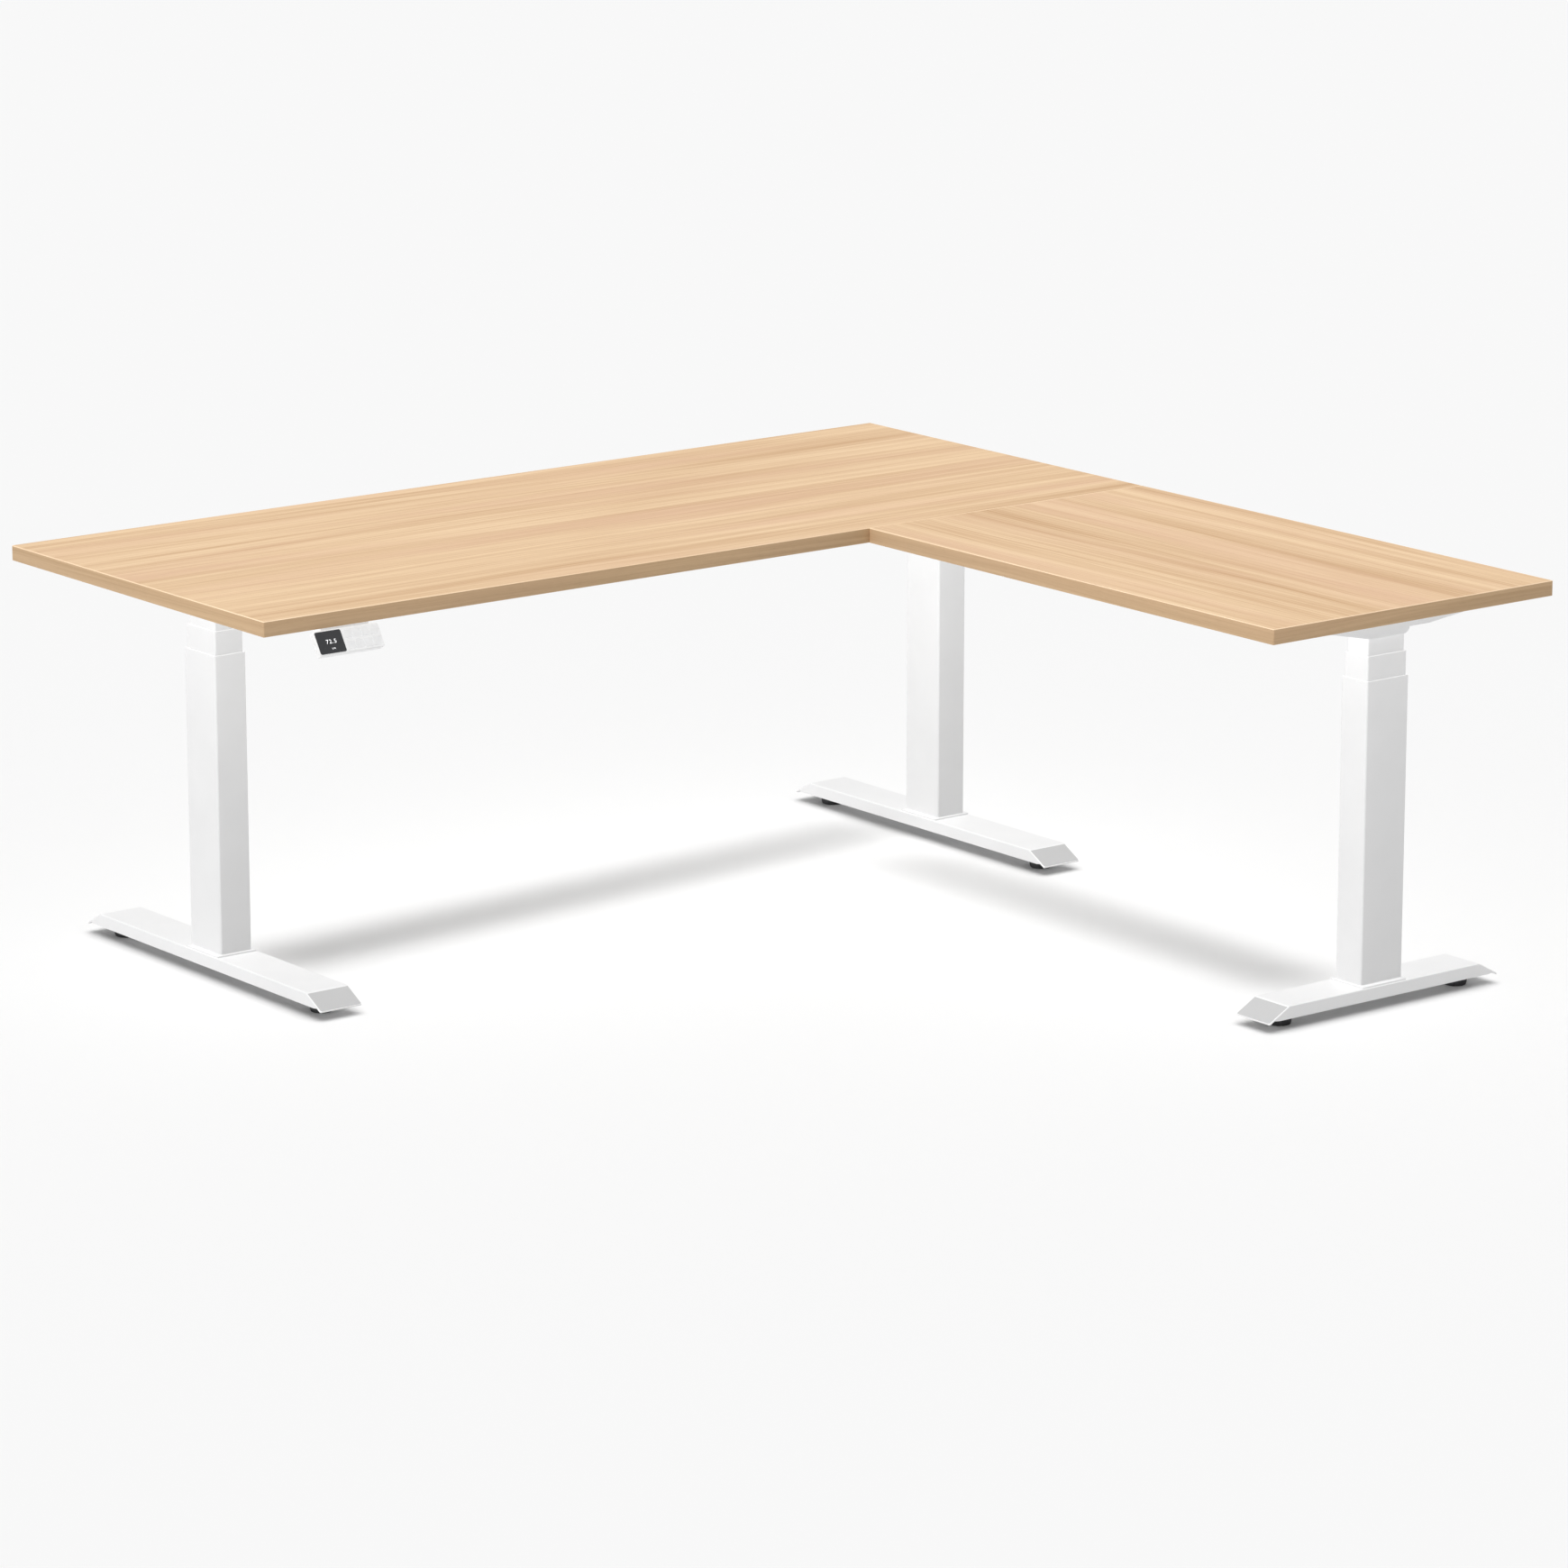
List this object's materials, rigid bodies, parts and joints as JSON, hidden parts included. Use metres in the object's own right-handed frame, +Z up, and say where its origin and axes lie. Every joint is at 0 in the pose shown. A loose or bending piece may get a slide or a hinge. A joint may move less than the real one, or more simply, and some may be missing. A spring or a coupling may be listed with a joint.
{
  "type": "height adjustable standing desk",
  "caption": "L-shaped height adjustable desk: a main board and a return board on telescopic column legs with flat feet, a keypad under the front edge and motors in the legs.",
  "frame": {"origin": "on the floor, under the centre of the bounding box at rest", "axes": "+X along the main board towards the corner leg, +Y from the sitting side to the back edge of the main board, +Z up"},
  "size_m": [1.8, 1.75, 0.669],
  "materials": {
    "light_oak_laminate": "light oak laminate with a matching edge band, satin",
    "white_powder_coat": "fine textured white powder coat, satin",
    "zinc_plated_steel": "zinc plated",
    "spindle_steel": "bright rolled thread, lightly greased",
    "motor_housing": "black, semi-matt",
    "glide_plastic": "matt",
    "black_pad_plastic": "matt, moulded",
    "white_plastic": "moulded, fine grain",
    "display_black": "smooth, dark",
    "key_grey": "moulded, matt",
    "black_plastic": "moulded, matt"
  },
  "bodies": {
    "left_base": {"left_foot": "white_powder_coat", "left_foot_bolts": "zinc_plated_steel", "left_outer_tube": "white_powder_coat", "left_outer_glides": "glide_plastic"},
    "left_middle": {"left_middle_tube": "white_powder_coat", "left_middle_glides": "glide_plastic"},
    "top": {"main_desktop": "light_oak_laminate", "return_desktop": "light_oak_laminate", "side_brackets": "white_powder_coat", "main_rails": "white_powder_coat", "return_rails": "white_powder_coat", "rail_joint": "white_powder_coat", "joining_plates": "white_powder_coat", "desktop_screws": "zinc_plated_steel", "frame_bolts": "zinc_plated_steel", "keypad_case": "white_plastic", "display_window": "display_black", "control_box": "white_plastic", "power_inlet": "black_plastic", "left_inner_tube": "white_powder_coat", "left_gear_motor": "motor_housing", "left_leg_head": "white_powder_coat", "corner_inner_tube": "white_powder_coat", "corner_gear_motor": "motor_housing", "corner_leg_head": "white_powder_coat", "return_inner_tube": "white_powder_coat", "return_gear_motor": "motor_housing", "return_leg_head": "white_powder_coat"},
    "corner_middle": {"corner_middle_tube": "white_powder_coat", "corner_middle_glides": "glide_plastic"},
    "corner_base": {"corner_foot": "white_powder_coat", "corner_foot_bolts": "zinc_plated_steel", "corner_outer_tube": "white_powder_coat", "corner_outer_glides": "glide_plastic"},
    "return_middle": {"return_middle_tube": "white_powder_coat", "return_middle_glides": "glide_plastic"},
    "return_base": {"return_foot": "white_powder_coat", "return_foot_bolts": "zinc_plated_steel", "return_outer_tube": "white_powder_coat", "return_outer_glides": "glide_plastic"},
    "left_drive_spindle": {"left_drive_spindle": "spindle_steel"},
    "left_hollow_spindle": {"left_hollow_spindle": "spindle_steel"},
    "left_front_pad": {"left_front_pad": "black_pad_plastic"},
    "left_rear_pad": {"left_rear_pad": "black_pad_plastic"},
    "corner_drive_spindle": {"corner_drive_spindle": "spindle_steel"},
    "corner_hollow_spindle": {"corner_hollow_spindle": "spindle_steel"},
    "corner_front_pad": {"corner_front_pad": "black_pad_plastic"},
    "corner_rear_pad": {"corner_rear_pad": "black_pad_plastic"},
    "return_drive_spindle": {"return_drive_spindle": "spindle_steel"},
    "return_hollow_spindle": {"return_hollow_spindle": "spindle_steel"},
    "return_left_pad": {"return_left_pad": "black_pad_plastic"},
    "return_right_pad": {"return_right_pad": "black_pad_plastic"},
    "menu_button": {"menu_button": "key_grey"},
    "lock_button": {"lock_button": "key_grey"},
    "unit_button": {"unit_button": "key_grey"},
    "up_button": {"up_button": "key_grey"},
    "memory_1_button": {"memory_1_button": "key_grey"},
    "memory_2_button": {"memory_2_button": "key_grey"},
    "memory_3_button": {"memory_3_button": "key_grey"},
    "down_button": {"down_button": "key_grey"}
  },
  "joints": [
    {"name": "left_lower_lift", "type": "slide", "parent": "left_base", "child": "left_middle", "axis": [0, 0, 1], "range_m": [-0.02, 0.3]},
    {"name": "left_upper_lift", "type": "slide", "parent": "left_middle", "child": "top", "axis": [0, 0, 1], "range_m": [-0.02, 0.3]},
    {"name": "corner_upper_lift", "type": "slide", "parent": "top", "child": "corner_middle", "axis": [0, 0, -1], "range_m": [-0.02, 0.3]},
    {"name": "corner_lower_lift", "type": "slide", "parent": "corner_middle", "child": "corner_base", "axis": [0, 0, -1], "range_m": [-0.02, 0.3]},
    {"name": "return_upper_lift", "type": "slide", "parent": "top", "child": "return_middle", "axis": [0, 0, -1], "range_m": [-0.02, 0.3]},
    {"name": "return_lower_lift", "type": "slide", "parent": "return_middle", "child": "return_base", "axis": [0, 0, -1], "range_m": [-0.02, 0.3]},
    {"name": "left_drive_spindle_turn", "type": "hinge", "parent": "top", "child": "left_drive_spindle", "pos_m": [-0.75, 0.5, 0.3], "axis": [0, 0, 1], "range_deg": [-910, 13510]},
    {"name": "left_hollow_spindle_turn", "type": "hinge", "parent": "left_middle", "child": "left_hollow_spindle", "pos_m": [-0.75, 0.5, 0.25], "axis": [0, 0, 1], "range_deg": [-910, 13510]},
    {"name": "corner_drive_spindle_turn", "type": "hinge", "parent": "top", "child": "corner_drive_spindle", "pos_m": [0.75, 0.5, 0.3], "axis": [0, 0, 1], "range_deg": [-910, 13510]},
    {"name": "corner_hollow_spindle_turn", "type": "hinge", "parent": "corner_middle", "child": "corner_hollow_spindle", "pos_m": [0.75, 0.5, 0.25], "axis": [0, 0, 1], "range_deg": [-910, 13510]},
    {"name": "return_drive_spindle_turn", "type": "hinge", "parent": "top", "child": "return_drive_spindle", "pos_m": [0.6, -0.786, 0.3], "axis": [0, 0, 1], "range_deg": [-910, 13510]},
    {"name": "return_hollow_spindle_turn", "type": "hinge", "parent": "return_middle", "child": "return_hollow_spindle", "pos_m": [0.6, -0.786, 0.25], "axis": [0, 0, 1], "range_deg": [-910, 13510]},
    {"name": "left_rear_pad_screw", "type": "slide", "parent": "left_base", "child": "left_rear_pad", "axis": [0, 0, -1], "range_m": [-0.003, 0.006]},
    {"name": "left_front_pad_screw", "type": "slide", "parent": "left_base", "child": "left_front_pad", "axis": [0, 0, -1], "range_m": [-0.003, 0.006]},
    {"name": "corner_front_pad_screw", "type": "slide", "parent": "corner_base", "child": "corner_front_pad", "axis": [0, 0, -1], "range_m": [-0.003, 0.006]},
    {"name": "corner_rear_pad_screw", "type": "slide", "parent": "corner_base", "child": "corner_rear_pad", "axis": [0, 0, -1], "range_m": [-0.003, 0.006]},
    {"name": "return_left_pad_screw", "type": "slide", "parent": "return_base", "child": "return_left_pad", "axis": [0, 0, -1], "range_m": [-0.003, 0.006]},
    {"name": "return_right_pad_screw", "type": "slide", "parent": "return_base", "child": "return_right_pad", "axis": [0, 0, -1], "range_m": [-0.003, 0.006]},
    {"name": "menu_button_press", "type": "slide", "parent": "top", "child": "menu_button", "axis": [0, 0.848, -0.5299], "range_m": [0, 0.0006], "stiffness_N_per_m": 600, "springref_m": -0.0003},
    {"name": "lock_button_press", "type": "slide", "parent": "top", "child": "lock_button", "axis": [0, 0.848, -0.5299], "range_m": [0, 0.0006], "stiffness_N_per_m": 600, "springref_m": -0.0003},
    {"name": "unit_button_press", "type": "slide", "parent": "top", "child": "unit_button", "axis": [0, 0.848, -0.5299], "range_m": [0, 0.0006], "stiffness_N_per_m": 600, "springref_m": -0.0003},
    {"name": "up_button_press", "type": "slide", "parent": "top", "child": "up_button", "axis": [0, 0.848, -0.5299], "range_m": [0, 0.0006], "stiffness_N_per_m": 600, "springref_m": -0.0003},
    {"name": "memory_1_button_press", "type": "slide", "parent": "top", "child": "memory_1_button", "axis": [0, 0.848, -0.5299], "range_m": [0, 0.0006], "stiffness_N_per_m": 600, "springref_m": -0.0003},
    {"name": "memory_2_button_press", "type": "slide", "parent": "top", "child": "memory_2_button", "axis": [0, 0.848, -0.5299], "range_m": [0, 0.0006], "stiffness_N_per_m": 600, "springref_m": -0.0003},
    {"name": "memory_3_button_press", "type": "slide", "parent": "top", "child": "memory_3_button", "axis": [0, 0.848, -0.5299], "range_m": [0, 0.0006], "stiffness_N_per_m": 600, "springref_m": -0.0003},
    {"name": "down_button_press", "type": "slide", "parent": "top", "child": "down_button", "axis": [0, 0.848, -0.5299], "range_m": [0, 0.0006], "stiffness_N_per_m": 600, "springref_m": -0.0003}
  ],
  "couplings": [
    {"joint": "left_upper_lift", "follows": "left_lower_lift", "ratio": 1},
    {"joint": "corner_upper_lift", "follows": "left_lower_lift", "ratio": 1},
    {"joint": "corner_lower_lift", "follows": "left_lower_lift", "ratio": 1},
    {"joint": "return_upper_lift", "follows": "left_lower_lift", "ratio": 1},
    {"joint": "return_lower_lift", "follows": "left_lower_lift", "ratio": 1},
    {"joint": "left_drive_spindle_turn", "follows": "left_lower_lift", "rad_per_m": 785.4},
    {"joint": "left_hollow_spindle_turn", "follows": "left_lower_lift", "rad_per_m": 785.4},
    {"joint": "corner_drive_spindle_turn", "follows": "left_lower_lift", "rad_per_m": 785.4},
    {"joint": "corner_hollow_spindle_turn", "follows": "left_lower_lift", "rad_per_m": 785.4},
    {"joint": "return_drive_spindle_turn", "follows": "left_lower_lift", "rad_per_m": 785.4},
    {"joint": "return_hollow_spindle_turn", "follows": "left_lower_lift", "rad_per_m": 785.4}
  ]
}
